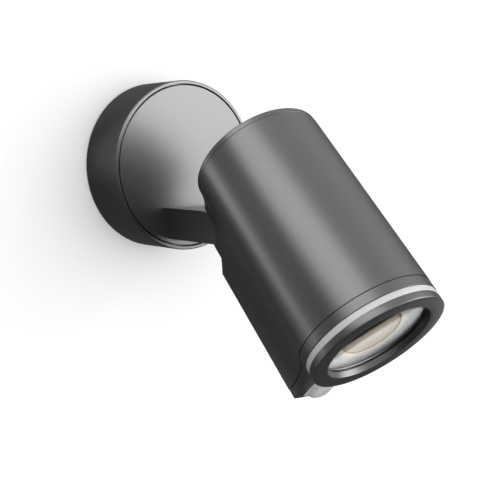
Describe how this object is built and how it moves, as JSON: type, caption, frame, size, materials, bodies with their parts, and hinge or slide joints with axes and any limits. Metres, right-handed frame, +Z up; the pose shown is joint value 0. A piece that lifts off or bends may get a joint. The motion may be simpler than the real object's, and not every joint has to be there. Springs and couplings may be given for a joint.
{
  "type": "wall spotlight with motion sensor",
  "caption": "Outdoor wall spotlight: a round wall rosette with a turning disc, a short arm and a tilting tube-shaped LED head with a motion sensor in a fin along its underside.",
  "frame": {"origin": "centre of the rosette's back face, on the wall, midway between the two wall screws", "axes": "+Z up; +Y into the wall along the wall's normal, so the lamp stands out towards -Y; +X to the right for someone who faces the wall"},
  "size_m": [0.108, 0.2239, 0.1798],
  "materials": {
    "anthracite_coat": "satin anthracite powder coat with a very fine texture",
    "zinc_steel": "zinc-plated steel",
    "brass_contacts": "plain brass",
    "friction_bronze": "sintered bronze",
    "seal_rubber": "matt black rubber",
    "terminal_plastic": "white moulded plastic",
    "frosted_ring": "milky translucent plastic",
    "lens_plastic": "frosted, faceted lens plastic",
    "clear_glass": "clear float glass",
    "mirror_coat": "vapour-coated silver",
    "phosphor": "unlit phosphor under silicone",
    "white_board": "white solder mask",
    "sink_aluminium": "plain die-cast aluminium",
    "green_board": "green solder mask",
    "driver_case": "black moulded plastic",
    "pot_plastic": "blue moulded plastic",
    "dial_plastic": "light grey moulded plastic"
  },
  "bodies": {
    "rosette": {"wall_plate": "zinc_steel", "wall_gasket": "seal_rubber", "cable_grommet": "seal_rubber", "terminal_block": "terminal_plastic", "terminal_screws": "brass_contacts", "earth_screw": "brass_contacts", "rosette_housing": "anthracite_coat", "rosette_grub_screw": "zinc_steel", "disc_seal": "seal_rubber"},
    "turning_arm": {"turning_disc": "anthracite_coat", "disc_retainer": "zinc_steel", "retainer_screws": "zinc_steel", "arm": "anthracite_coat", "arm_screws": "zinc_steel", "hinge_bolt": "zinc_steel", "friction_washers": "friction_bronze", "spring_washer": "zinc_steel"},
    "lamp_head": {"hinge_saddle": "anthracite_coat", "saddle_screw": "zinc_steel", "head_body": "anthracite_coat", "rear_cap": "anthracite_coat", "rear_seal": "seal_rubber", "rear_cap_screws": "zinc_steel", "front_cap": "anthracite_coat", "front_seal": "seal_rubber", "front_cap_screws": "zinc_steel", "glow_ring": "frosted_ring", "bezel": "anthracite_coat", "front_glass": "clear_glass", "glass_seal": "seal_rubber", "reflector": "mirror_coat", "led_emitter": "phosphor", "led_board": "white_board", "led_board_screws": "zinc_steel", "heat_sink": "sink_aluminium", "heat_sink_screws": "zinc_steel", "driver_bracket": "zinc_steel", "led_driver": "driver_case", "sensor_lens": "lens_plastic", "sensor_lens_frame": "driver_case", "motion_detector": "zinc_steel", "detector_board": "green_board", "sensor_board": "green_board", "setting_pots": "pot_plastic"},
    "time_dial": {"time_dial": "dial_plastic"},
    "twilight_dial": {"twilight_dial": "dial_plastic"}
  },
  "joints": [
    {"name": "disc_turn", "type": "hinge", "parent": "rosette", "child": "turning_arm", "pos_m": [0, 0, 0], "axis": [0, -1, 0], "range_deg": [-165, 165]},
    {"name": "head_tilt", "type": "hinge", "parent": "turning_arm", "child": "lamp_head", "pos_m": [0, -0.0745, -0.037], "axis": [1, 0, 0], "range_deg": [-45, 45]},
    {"name": "time_dial_turn", "type": "hinge", "parent": "lamp_head", "child": "time_dial", "pos_m": [0, -0.11495, -0.09272], "axis": [0, 0.7071, -0.7071], "range_deg": [-135, 135]},
    {"name": "twilight_dial_turn", "type": "hinge", "parent": "lamp_head", "child": "twilight_dial", "pos_m": [0, -0.12485, -0.10262], "axis": [0, 0.7071, -0.7071], "range_deg": [-135, 135]}
  ]
}
